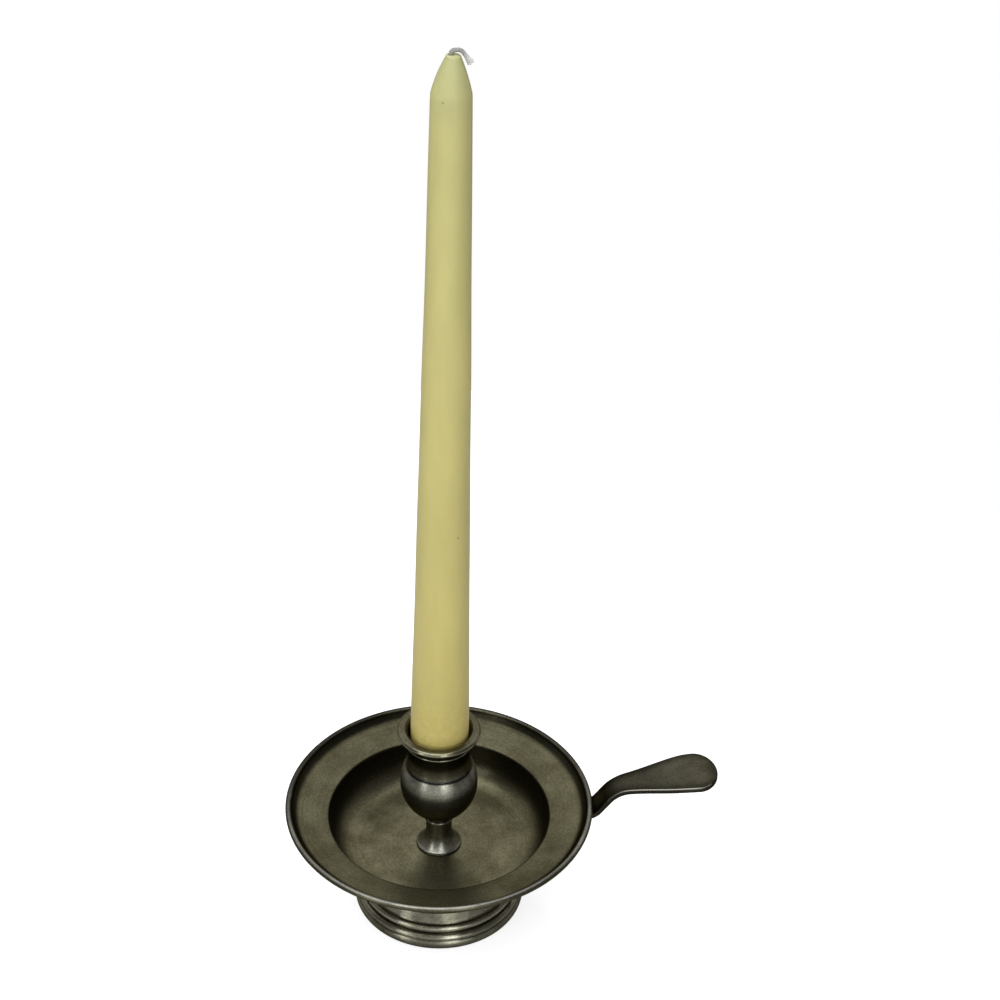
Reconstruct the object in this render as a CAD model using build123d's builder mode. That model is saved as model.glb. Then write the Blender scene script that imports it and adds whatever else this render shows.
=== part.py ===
from build123d import *
import os
from math import cos, radians, sin, sqrt, tan

# A pewter chamberstick: a saucer on a moulded foot, a turned candle socket screwed to its middle, a flat
# spoon handle soldered under the rim, and a wax taper that lifts out of the socket.
# Millimetres. The origin is on the socket's axis at the table, +Z is up and +X runs along the handle.

# Saucer, spun from sheet, its edge rolled
sheet = 1.7
foot_height = 25.6
well_depth = 15.9
well_radius = 44.3
well_wall_lean = 1.9
well_floor_round = 10.0
well_edge_round = 0.9
flange_rise = 2.6
curl_slope = 48.0
curl_round = 3.5
rim_radius = 61.7
rim_rise = 3.35
rim_roll_radius = 1.2

# Foot ring, cast and turned
foot_base_radius = 33.3
foot_torus_radius = 34.5
foot_torus_height = 7.0
foot_groove_radius = 31.9
foot_groove_height = 0.4
foot_bead_radius = 32.5
foot_bead_height = 3.2
foot_fillet_radius = 30.6
foot_waist_radius = 27.9
foot_top_radius = 30.4
foot_wall = 2.2
foot_rest_width = 2.4

# Socket stem, cast and turned
stem_disc_radius = 9.1
stem_disc_edge = 0.8
stem_flare_radius = 8.6
stem_flare_height = 6.6
stem_radius = 5.2
stem_height = 5.7
stem_bead_radius = 5.9
stem_bead_height = 1.6
stem_cove_radius = 7.2
stem_cove_height = 2.8
bulb_rise = 15.1
bulb_shoulder_height = 9.3
bulb_shoulder_slope = 73.0
bulb_ledge = 0.3
bulb_swell = 2.1

# Socket cup, turned
bore_radius = 11.9
seat_depth = 24.2
cup_wall = 1.05
cup_neck_hollow = 0.6
cup_seat_groove = 0.25
cup_neck_height = 11.2
cup_ring_height = 0.9
cup_ring_proud = 0.45
cup_height = 17.9
cup_lip_width = 3.1
cup_lip_thickness = 1.7
cup_lip_round_share = 0.76
cup_lip_under_share = 0.2
cup_floor = 1.3
spigot_wall = 0.6
mouth_flare = 1.6
mouth_depth = 3.2

# Screw and washer that hold the socket from below
screw_radius = 2.0
screw_reach = 10.5
screw_head_radius = 3.9
screw_head_height = 2.6
screw_head_round_share = 0.35
screw_slot_width = 1.0
screw_slot_depth = 1.2
washer_radius = 6.0
washer_thickness = 0.8

# Handle, cast flat and bent
handle_thickness = 2.3
handle_edge_round = 0.7
handle_root_gap = 0.9
handle_root_width = 10.6
handle_root_cover = 2.7
handle_bend_reach = 0.5
handle_bend_round = 5.0
handle_knee_run = 8.8
handle_knee_rise = 11.5
handle_knee_round = 14.0
handle_neck_back = 0.8
handle_neck_width = 10.5
handle_paddle_length = 34.0
handle_paddle_width = 22.0
handle_crown_back = 4.2
handle_crown_rise = 4.2
handle_crown_round = 60.0
handle_nose_length = 8.7
handle_nose_rise = 0.4

# Taper candle and its wick
candle_length = 304.8
candle_fit = 0.45
candle_butt_taper = 0.45
candle_base_height = 24.0
candle_base_chamfer = 0.6
candle_shoulder_radius = 6.95
candle_tip_length = 13.6
candle_tip_radius = 2.2
candle_tip_round = 1.3
candle_tip_skew = 0.5
candle_tip_mid_share = 0.55
candle_tip_swell_share = 0.065
candle_lean = 0.8
wick_radius = 0.8
wick_offset = 0.9
wick_stub = 1.4
wick_bend_round = 1.2
wick_arch_reach = 3.4
wick_arch_rise = 0.1
wick_arch_round = 2.5
wick_droop_reach = 3.2
wick_droop_drop = 4.6

# Clearances
solder_film = 0.1
thread_clearance = 0.05
hole_clearance = 0.3
seat_clearance = 0.3
wick_clearance = 0.05
overrun = 2.0

# Heights and radii that several pieces share
floor_height = foot_height + sheet
well_edge_height = floor_height + well_depth
flange_height = well_edge_height + flange_rise
rim_height = flange_height + rim_rise
curl = radians(curl_slope)
rim_roll_reach = rim_radius - rim_roll_radius
rim_roll_height = rim_height - rim_roll_radius
rim_edge_radius = rim_roll_reach - sheet / 2 * sin(curl)
rim_edge_height = rim_roll_height + sheet / 2 * cos(curl)
curl_radius = rim_edge_radius - (rim_edge_height - flange_height) / tan(curl)
cup_neck_radius = bore_radius + cup_wall
spigot_radius = bore_radius + spigot_wall
bulb_shoulder_radius = cup_neck_radius + bulb_ledge
bulb_radius = bulb_shoulder_radius + bulb_swell
screw_hole_radius = screw_radius + hole_clearance
screw_thread_radius = screw_radius + thread_clearance
stem_bead_start = floor_height + stem_disc_edge + stem_flare_height + stem_height
stem_cove_start = stem_bead_start + stem_bead_height
bulb_start = stem_cove_start + stem_cove_height
bulb_height = bulb_start + bulb_rise
cup_seat_height = bulb_height + bulb_shoulder_height
cup_top = cup_seat_height + cup_height
bore_floor = cup_top - seat_depth
spigot_floor = bore_floor - cup_floor
washer_height = foot_height - washer_thickness

os.makedirs("parts", exist_ok=True)


# Saucer: one line for its upper face, thickened downwards, with a round roll on its edge, turned about the axis
with BuildPart() as saucer:
    with BuildSketch(Plane.XZ):
        with BuildLine():
            FilletPolyline(
                (screw_hole_radius, floor_height),
                (well_radius - well_wall_lean, floor_height),
                (well_radius, well_edge_height),
                (curl_radius, flange_height),
                (rim_edge_radius, rim_edge_height),
                radius=(well_floor_round, well_edge_round, curl_round),
            )
            offset(amount=sheet, side=Side.RIGHT)
        make_face()
        with Locations((rim_roll_reach, rim_roll_height)):
            Circle(rim_roll_radius)
    revolve(axis=Axis.Z)
saucer.part.label = "saucer"
export_step(saucer.part, "parts/saucer.step")


# Foot ring: torus, groove, bead and cove outside, a plain cove inside
foot_bead_start = foot_torus_height + foot_groove_height
foot_bead_end = foot_bead_start + foot_bead_height
foot_waist_height = (foot_bead_end + foot_height) / 2
with BuildPart() as foot_ring:
    with BuildSketch(Plane.XZ):
        with BuildLine():
            ThreePointArc(
                (foot_base_radius, 0),
                (foot_torus_radius, foot_torus_height / 2),
                (foot_groove_radius, foot_torus_height),
            )
            Line((foot_groove_radius, foot_torus_height), (foot_groove_radius, foot_bead_start))
            ThreePointArc(
                (foot_groove_radius, foot_bead_start),
                (foot_bead_radius, (foot_bead_start + foot_bead_end) / 2),
                (foot_fillet_radius, foot_bead_end),
            )
            ThreePointArc(
                (foot_fillet_radius, foot_bead_end),
                (foot_waist_radius, foot_waist_height),
                (foot_top_radius, foot_height),
            )
            Line((foot_top_radius, foot_height), (foot_top_radius - foot_wall, foot_height))
            Spline(
                (foot_top_radius - foot_wall, foot_height),
                (foot_waist_radius - foot_wall, foot_waist_height),
                (foot_base_radius - foot_rest_width, 0),
            )
            Line((foot_base_radius - foot_rest_width, 0), (foot_base_radius, 0))
        make_face()
    revolve(axis=Axis.Z)
foot_ring.part.label = "foot_ring"
export_step(foot_ring.part, "parts/foot_ring.step")


# Socket stem: foot disc, flared stem, bead and bulb, tapped from below and bored for the cup
thread_top = floor_height + screw_reach
stem_disc_top = floor_height + stem_disc_edge
stem_waist_height = stem_disc_top + stem_flare_height
recess_radius = spigot_radius + solder_film
shoulder_direction = (-cos(radians(bulb_shoulder_slope)), sin(radians(bulb_shoulder_slope)))
with BuildPart() as socket_stem:
    with BuildSketch(Plane.XZ):
        with BuildLine():
            Polyline(
                (0, thread_top),
                (screw_thread_radius, thread_top),
                (screw_thread_radius, floor_height),
                (stem_disc_radius, floor_height),
                (stem_disc_radius, stem_disc_top),
                (stem_flare_radius, stem_disc_top),
            )
            Spline(
                (stem_flare_radius, stem_disc_top),
                (stem_radius, stem_waist_height),
                tangents=((-1, 1), (0, 1)),
            )
            Line((stem_radius, stem_waist_height), (stem_radius, stem_bead_start))
            ThreePointArc(
                (stem_radius, stem_bead_start),
                (stem_bead_radius, (stem_bead_start + stem_cove_start) / 2),
                (stem_radius, stem_cove_start),
            )
            TangentArc(
                (stem_radius, stem_cove_start),
                (stem_cove_radius, bulb_start),
                tangent=(0, 1),
            )
            TangentArc(
                (bulb_radius, bulb_height),
                (stem_cove_radius, bulb_start),
                tangent=(0, -1),
            )
            Spline(
                (bulb_radius, bulb_height),
                (bulb_shoulder_radius, cup_seat_height),
                tangents=((0, 1), shoulder_direction),
            )
            Polyline(
                (bulb_shoulder_radius, cup_seat_height),
                (recess_radius, cup_seat_height),
                (recess_radius, spigot_floor),
                (0, spigot_floor),
                (0, thread_top),
            )
        make_face()
    revolve(axis=Axis.Z)
socket_stem.part.label = "socket_stem"
export_step(socket_stem.part, "parts/socket_stem.step")


# Socket cup: a closed spigot in the bulb, hollowed neck, thin ring and flared lip round the bore
neck_start = cup_seat_height + cup_seat_groove
ring_start = cup_seat_height + cup_neck_height
ring_end = ring_start + cup_ring_height
lip_under = cup_top - cup_lip_thickness
mouth_radius = bore_radius + mouth_flare
cup_lip_radius = mouth_radius + cup_lip_width
with BuildPart() as socket_cup:
    with BuildSketch(Plane.XZ):
        with BuildLine():
            Polyline(
                (0, bore_floor),
                (0, spigot_floor),
                (spigot_radius, spigot_floor),
                (spigot_radius, cup_seat_height),
                (cup_neck_radius - cup_seat_groove, cup_seat_height),
                (cup_neck_radius, neck_start),
            )
            ThreePointArc(
                (cup_neck_radius, neck_start),
                (cup_neck_radius - cup_neck_hollow, (neck_start + ring_start) / 2),
                (cup_neck_radius, ring_start),
            )
            ThreePointArc(
                (cup_neck_radius, ring_start),
                (cup_neck_radius + cup_ring_proud, (ring_start + ring_end) / 2),
                (cup_neck_radius, ring_end),
            )
            TangentArc(
                (cup_neck_radius, ring_end),
                (cup_lip_radius, lip_under),
                tangent=(0, 1),
            )
            Polyline(
                (cup_lip_radius, lip_under),
                (cup_lip_radius, cup_top),
                (mouth_radius, cup_top),
            )
            TangentArc(
                (bore_radius, cup_top - mouth_depth),
                (mouth_radius, cup_top),
                tangent=(0, 1),
            )
            Polyline(
                (bore_radius, cup_top - mouth_depth),
                (bore_radius, bore_floor),
                (0, bore_floor),
            )
        cup_face = make_face()
        lip_under_corner, lip_top_corner = cup_face.vertices().sort_by(Axis.X)[-2:].sort_by(Axis.Y)
        fillet(lip_under_corner, radius=cup_lip_thickness * cup_lip_under_share)
        fillet(lip_top_corner, radius=cup_lip_thickness * cup_lip_round_share)
    revolve(axis=Axis.Z)
socket_cup.part.label = "socket_cup"
export_step(socket_cup.part, "parts/socket_cup.step")


# Washer against the underside of the saucer
with BuildPart() as socket_washer:
    with BuildSketch(Plane.XY.offset(washer_height)):
        Circle(washer_radius)
        Circle(screw_hole_radius, mode=Mode.SUBTRACT)
    extrude(amount=washer_thickness)
socket_washer.part.label = "socket_washer"
export_step(socket_washer.part, "parts/socket_washer.step")


# Screw up through washer and saucer into the stem, with a slot across its head
with BuildPart() as socket_screw:
    with BuildSketch(Plane.XY.offset(washer_height)):
        Circle(screw_head_radius)
    extrude(amount=-screw_head_height)
    fillet(
        socket_screw.edges().group_by(Axis.Z)[0],
        radius=screw_head_height * screw_head_round_share,
    )
    with BuildSketch(Plane.XY.offset(washer_height)):
        Circle(screw_radius)
    extrude(amount=floor_height + screw_reach - thread_clearance - washer_height)
    with BuildSketch(Plane.XY.offset(washer_height - screw_head_height)):
        Rectangle(2 * (screw_head_radius + overrun), screw_slot_width)
    extrude(amount=screw_slot_depth, mode=Mode.SUBTRACT)
socket_screw.part.label = "socket_screw"
export_step(socket_screw.part, "parts/socket_screw.step")


# Handle: a bent strip cut to the paddle's outline, its root soldered to the round wall of the well
wall_slope = well_wall_lean / well_depth
wall_outside = well_radius + sheet * sqrt(1 + wall_slope**2) + solder_film
root_height = well_edge_height - sheet - handle_root_gap
root_start = well_radius - overrun
root_end = rim_radius - handle_root_cover
bend_radius = rim_radius + handle_bend_reach
knee_radius = bend_radius + handle_knee_run
knee_height = root_height + handle_knee_rise
neck_radius = knee_radius - handle_neck_back
paddle_radius = neck_radius + handle_paddle_length
crown_radius = paddle_radius - handle_crown_back
crown_height = knee_height + handle_crown_rise
nose_end = paddle_radius + handle_nose_length + overrun
with BuildPart() as handle:
    with BuildSketch(Plane.XZ):
        with BuildLine():
            FilletPolyline(
                (root_start, root_height),
                (bend_radius, root_height),
                (knee_radius, knee_height),
                (crown_radius, crown_height),
                (nose_end, crown_height + handle_nose_rise),
                radius=(handle_bend_round, handle_knee_round, handle_crown_round),
            )
            offset(amount=handle_thickness, side=Side.RIGHT)
        make_face()
    extrude(amount=handle_paddle_width / 2 + overrun, both=True)
    with BuildSketch():
        with BuildLine():
            Polyline(
                (root_start, 0),
                (root_start, handle_root_width / 2),
                (root_end, handle_root_width / 2),
            )
            Spline(
                (root_end, handle_root_width / 2),
                (neck_radius, handle_neck_width / 2),
                tangents=((1, 0), (1, 0)),
            )
            Spline(
                (neck_radius, handle_neck_width / 2),
                (paddle_radius, handle_paddle_width / 2),
                tangents=((1, 0), (1, 0)),
            )
            EllipticalCenterArc(
                (paddle_radius, 0),
                handle_nose_length,
                handle_paddle_width / 2,
                start_angle=0,
                arc_size=90,
            )
            mirror(about=Plane.XZ)
        make_face()
    extrude(amount=cup_top, mode=Mode.INTERSECT)
    fillet(handle.edges().filter_by(Axis.Z, reverse=True), radius=handle_edge_round)
    with BuildSketch(Plane.XZ):
        with BuildLine():
            Polyline(
                (0, floor_height),
                (wall_outside - well_depth * wall_slope, floor_height),
                (wall_outside, well_edge_height),
                (0, well_edge_height),
                close=True,
            )
        make_face()
    revolve(axis=Axis.Z, mode=Mode.SUBTRACT)
handle.part.label = "handle"
export_step(handle.part, "parts/handle.step")


# Candle: a long taper and a blunt tip drawn a little to one side, standing slightly out of true
lean = radians(candle_lean)
candle_axis = Axis((0, 0, bore_floor + seat_clearance), (sin(lean), 0, cos(lean)))
candle_base = Plane(candle_axis.position, x_dir=(cos(lean), 0, -sin(lean)), z_dir=candle_axis.direction)
candle_section = Plane(candle_axis.position, x_dir=candle_base.x_dir, z_dir=-candle_base.y_dir)
candle_base_radius = bore_radius - candle_fit
candle_butt_radius = candle_base_radius - candle_butt_taper
shoulder_height = candle_length - candle_tip_length
tip_mid_height = shoulder_height + candle_tip_length * candle_tip_mid_share
tip_mid_radius = (
    candle_shoulder_radius
    - (candle_shoulder_radius - candle_tip_radius) * candle_tip_mid_share
    + candle_shoulder_radius * candle_tip_swell_share
)
wick_exit = candle_tip_skew - wick_offset
wick_exit_height = candle_length + wick_stub
wick_arch_end = wick_exit + wick_arch_reach
wick_arch_height = wick_exit_height + wick_arch_rise
with BuildLine(candle_section) as wick_line:
    FilletPolyline(
        (0, 0),
        (0, shoulder_height),
        (wick_exit, wick_exit_height),
        (wick_arch_end, wick_arch_height),
        (wick_arch_end + wick_droop_reach, wick_arch_height - wick_droop_drop),
        radius=(candle_tip_length / 2, wick_bend_round, wick_arch_round),
    )
with BuildPart() as candle:
    with BuildSketch(candle_section):
        with BuildLine():
            Polyline(
                (0, 0),
                (candle_butt_radius - candle_base_chamfer, 0),
                (candle_butt_radius, candle_base_chamfer),
                (candle_base_radius, candle_base_height),
                (candle_shoulder_radius, shoulder_height),
                (0, shoulder_height),
                close=True,
            )
        make_face()
    revolve(axis=candle_axis)
    with BuildSketch(candle_base.offset(shoulder_height)):
        Circle(candle_shoulder_radius)
    with BuildSketch(candle_base.offset(tip_mid_height)):
        with Locations((candle_tip_skew * candle_tip_mid_share**2, 0)):
            Circle(tip_mid_radius)
    with BuildSketch(candle_base.offset(candle_length)):
        with Locations((candle_tip_skew, 0)):
            Circle(candle_tip_radius)
    loft()
    fillet(candle.edges().sort_by(Axis.Z)[-1], radius=candle_tip_round)
    with BuildSketch(candle_base):
        Circle(wick_radius + wick_clearance)
    sweep(path=wick_line.wire(), mode=Mode.SUBTRACT)
candle.part.label = "candle"
export_step(candle.part, "parts/candle.step")


# Wick: through the whole candle, its waxed end arched over the tip and drooping beside it
with BuildPart() as wick:
    with BuildSketch(candle_base):
        Circle(wick_radius)
    sweep(path=wick_line.wire())
wick.part.label = "wick"
export_step(wick.part, "parts/wick.step")
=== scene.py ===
import bmesh
import bpy
import cmath
import math
from mathutils import Matrix, Vector


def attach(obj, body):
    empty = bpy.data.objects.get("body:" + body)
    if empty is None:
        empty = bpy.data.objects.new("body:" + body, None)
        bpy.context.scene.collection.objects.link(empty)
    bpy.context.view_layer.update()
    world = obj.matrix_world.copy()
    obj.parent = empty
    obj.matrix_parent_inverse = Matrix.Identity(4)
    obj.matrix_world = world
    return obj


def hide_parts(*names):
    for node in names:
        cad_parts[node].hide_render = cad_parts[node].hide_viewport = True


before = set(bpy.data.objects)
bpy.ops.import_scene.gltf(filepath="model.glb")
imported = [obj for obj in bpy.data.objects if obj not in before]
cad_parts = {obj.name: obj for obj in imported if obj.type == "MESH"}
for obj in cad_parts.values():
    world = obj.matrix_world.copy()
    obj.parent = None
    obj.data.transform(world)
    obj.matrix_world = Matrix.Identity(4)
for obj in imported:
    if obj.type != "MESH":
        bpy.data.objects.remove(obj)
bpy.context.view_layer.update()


# Foot ring: the moulded base that lifts the saucer off the table, with torus, groove, bead and a long cove.
# Cast in pewter and turned inside and out on the lathe, with a fine line cut round the torus.
# Soldered to the saucer's underside by its top edge.
mm = 0.001
weld_gap = 0.002 * mm
foot_height = 25.6
foot_base, foot_base_round, foot_rest = 33.3, 0.3, 2.4
foot_torus, foot_torus_height = 34.5, 7.0
fine_line_radius, fine_line_height, fine_line_depth, fine_line_width = 33.75, 4.4, 0.15, 0.1
upper_swell, upper_swell_rise = 33.55, 0.2
foot_groove, foot_groove_height = 31.9, 0.4
foot_bead, foot_bead_height = 32.5, 3.2
foot_fillet, foot_fillet_depth, foot_fillet_height = 30.9, 0.25, 0.1
foot_waist, foot_waist_rise = 28.1, 1.5
foot_cove_spread, foot_cove_drop = 0.8, 2.0
foot_top, foot_wall = 30.4, 2.2


def arc(start, through, end, steps=12):
    """Points of the arc from start by way of through to end, without start itself."""
    a, b, c = complex(*start), complex(*through), complex(*end)
    w = (c - a) / (b - a)
    middle = a - (a - b) * (w - abs(w) ** 2) / (2j * w.imag)
    sweep = cmath.phase((b - middle) / (a - middle)) + cmath.phase((c - middle) / (b - middle))
    turned = [middle + (a - middle) * cmath.rect(1, sweep * k / steps) for k in range(1, steps + 1)]
    return [(p.real, p.imag) for p in turned]


def add(tree, kind, inputs=None, **settings):
    """A new node of the tree, its settings made and its inputs linked or set."""
    node = tree.nodes.new(kind)
    for key, value in settings.items():
        setattr(node, key, value)
    for key, value in (inputs or {}).items():
        if isinstance(value, bpy.types.NodeSocket):
            tree.links.new(value, node.inputs[key])
        else:
            node.inputs[key].default_value = value
    return node


def reckon(tree, operation, *values):
    """The result of a sum on those values."""
    return add(tree, "ShaderNodeMath", dict(enumerate(values)), operation=operation).outputs[0]


def start_rule(name, sizes):
    """A new Geometry Nodes tree with a named input for each size, and those inputs."""
    tree = bpy.data.node_groups.new(name, "GeometryNodeTree")
    for label, kind in sizes.items():
        tree.interface.new_socket(label, in_out="INPUT", socket_type="NodeSocket" + kind)
    tree.interface.new_socket("Piece", in_out="OUTPUT", socket_type="NodeSocketGeometry")
    return tree, tree.nodes.new("NodeGroupInput").outputs


def rounded(tree, drawn, steps):
    """The drawn edges as a curve, each corner rounded by its own radius."""
    curve = add(tree, "GeometryNodeMeshToCurve", {"Mesh": drawn}).outputs[0]
    rounds = add(tree, "GeometryNodeInputNamedAttribute", {"Name": "round"}, data_type="FLOAT").outputs[0]
    return add(
        tree,
        "GeometryNodeFilletCurve",
        {"Curve": curve, "Count": steps, "Radius": rounds, "Limit Radius": True},
        mode="POLY",
    ).outputs[0]


def end_rule(tree, shape, finish):
    """Ends the tree with the shape smooth, real and in its finish."""
    smooth = add(tree, "GeometryNodeSetShadeSmooth", {"Geometry": shape}).outputs[0]
    real = add(tree, "GeometryNodeRealizeInstances", {"Geometry": smooth}).outputs[0]
    piece = add(tree, "GeometryNodeSetMaterial", {"Geometry": real, "Material": finish}).outputs[0]
    tree.links.new(piece, tree.nodes.new("NodeGroupOutput").inputs[0])


def lathe():
    """The rule of every turned piece: a profile whose corners are rounded off, carried round the Z axis."""
    tree, given = start_rule(
        "turned_piece",
        {
            "Profile": "Geometry",
            "Facets": "Int",
            "Round steps": "Int",
            "Longest run": "Float",
            "Finish": "Material",
        },
    )
    eased = rounded(tree, given["Profile"], given["Round steps"])
    # Long straight runs are cut up, so that the shading beside a rounded corner stays flat
    here = add(tree, "GeometryNodeInputPosition").outputs[0]
    index = add(tree, "GeometryNodeInputIndex").outputs[0]
    there = add(
        tree,
        "GeometryNodeFieldAtIndex",
        {"Index": reckon(tree, "ADD", index, 1.0), "Value": here},
        data_type="FLOAT_VECTOR",
        domain="POINT",
    ).outputs[0]
    run = add(tree, "ShaderNodeVectorMath", {0: here, 1: there}, operation="DISTANCE").outputs["Value"]
    cuts = reckon(tree, "FLOOR", reckon(tree, "DIVIDE", run, given["Longest run"]))
    line = add(tree, "GeometryNodeSubdivideCurve", {"Curve": eased, "Cuts": cuts}).outputs[0]
    # A grid of rings and spokes is laid on the line and bent round the axis
    size = add(tree, "GeometryNodeAttributeDomainSize", {"Geometry": line}, component="CURVE").outputs
    spokes = reckon(tree, "ADD", given["Facets"], 1.0)
    grid = add(tree, "GeometryNodeMeshGrid", {"Vertices X": size["Point Count"], "Vertices Y": spokes})
    ring = reckon(tree, "FLOOR", reckon(tree, "DIVIDE", reckon(tree, "ADD", index, 0.5), spokes))
    spoke = reckon(tree, "SUBTRACT", index, reckon(tree, "MULTIPLY", ring, spokes))
    angle = reckon(tree, "MULTIPLY", reckon(tree, "DIVIDE", spoke, given["Facets"]), math.tau)
    on_line = add(
        tree,
        "GeometryNodeSampleIndex",
        {"Geometry": line, "Value": here, "Index": ring},
        data_type="FLOAT_VECTOR",
        domain="POINT",
    ).outputs[0]
    turned = add(tree, "ShaderNodeVectorRotate", {"Vector": on_line, "Angle": angle}, rotation_type="Z_AXIS")
    bent = add(
        tree, "GeometryNodeSetPosition", {"Geometry": grid.outputs["Mesh"], "Position": turned.outputs[0]}
    ).outputs[0]
    closed = add(tree, "GeometryNodeMergeByDistance", {"Geometry": bent, "Distance": weld_gap}).outputs[0]
    end_rule(tree, closed, given["Finish"])
    return tree


def set_out(name, data):
    """A new object of that mesh, lamp or camera, in the scene."""
    piece = bpy.data.objects.new(name, data)
    bpy.context.scene.collection.objects.link(piece)
    return piece


def draw(name, corners):
    """An object of bare edges: corners (radius, height, round) in millimetres, in the XZ plane."""
    mesh = bpy.data.meshes.new(name)
    points = [(c[0] * mm, 0, c[1] * mm) for c in corners]
    mesh.from_pydata(points, [(k, k + 1) for k in range(len(points) - 1)], [])
    rounds = mesh.attributes.new("round", "FLOAT", "POINT")
    for k, c in enumerate(corners):
        rounds.data[k].value = c[2] * mm if len(c) > 2 else 0
    return set_out(name, mesh)


def weld(piece, crease=50):
    """Closes the mesh's seams, turns its faces outwards and shades it smooth up to that crease in degrees."""
    work = bmesh.new()
    work.from_mesh(piece.data)
    bmesh.ops.remove_doubles(work, verts=work.verts, dist=weld_gap)
    bmesh.ops.recalc_face_normals(work, faces=work.faces)
    work.to_mesh(piece.data)
    work.free()
    piece.data.shade_smooth()
    piece.data.set_sharp_from_angle(angle=math.radians(crease))


def grow(piece, tree, **sizes):
    """Runs the tree on the piece with the sizes named, and leaves a plain welded mesh."""
    modifier = piece.modifiers.new(tree.name, "NODES")
    modifier.node_group = tree
    for socket in tree.interface.items_tree:
        label = socket.name.lower().replace(" ", "_")
        if socket.in_out == "INPUT" and label in sizes:
            modifier[socket.identifier] = sizes[label]
    grown = piece.evaluated_get(bpy.context.evaluated_depsgraph_get())
    mesh = bpy.data.meshes.new_from_object(grown)
    piece.modifiers.clear()
    piece.data = mesh
    weld(piece)


def new_finish(name):
    """A new material, its nodes and its shader."""
    material = bpy.data.materials.new(name)
    material.use_nodes = True
    return material, material.node_tree, material.node_tree.nodes["Principled BSDF"]


def object_place(tree):
    """The place on the piece, in its own coordinates."""
    return add(tree, "ShaderNodeTexCoord").outputs["Object"]


def from_axis(tree, place):
    """How far the place is from the Z axis."""
    flat = add(tree, "ShaderNodeVectorMath", {0: place, 1: (1, 1, 0)}, operation="MULTIPLY").outputs[0]
    return add(tree, "ShaderNodeVectorMath", {0: flat}, operation="LENGTH").outputs["Value"]


def mottle(tree, place, scale, detail, roughness=0.5):
    """Random clouds from 0 to 1 and mostly near a half, about as many to the metre as scale says."""
    return add(
        tree,
        "ShaderNodeTexNoise",
        {"Vector": place, "Scale": scale, "Detail": detail, "Roughness": roughness},
    ).outputs[0]


def carry(tree, value, start, end, low=0, high=1, soft=False):
    """The value carried from the span of start to end over to low to high, and held at either end."""
    return add(
        tree,
        "ShaderNodeMapRange",
        {"Value": value, "From Min": start, "From Max": end, "To Min": low, "To Max": high},
        interpolation_type="SMOOTHSTEP" if soft else "LINEAR",
    ).outputs[0]


def blend(tree, share, first, second):
    """The first colour with that share of the second in its place."""
    first, second = (c if isinstance(c, bpy.types.NodeSocket) else (*c, 1) for c in (first, second))
    return add(tree, "ShaderNodeMix", {0: share, 6: first, 7: second}, data_type="RGBA").outputs[2]


def times(tree, colour, factor):
    """The colour, or place, times the factor."""
    return add(tree, "ShaderNodeVectorMath", {0: colour, 3: factor}, operation="SCALE").outputs[0]


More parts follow.
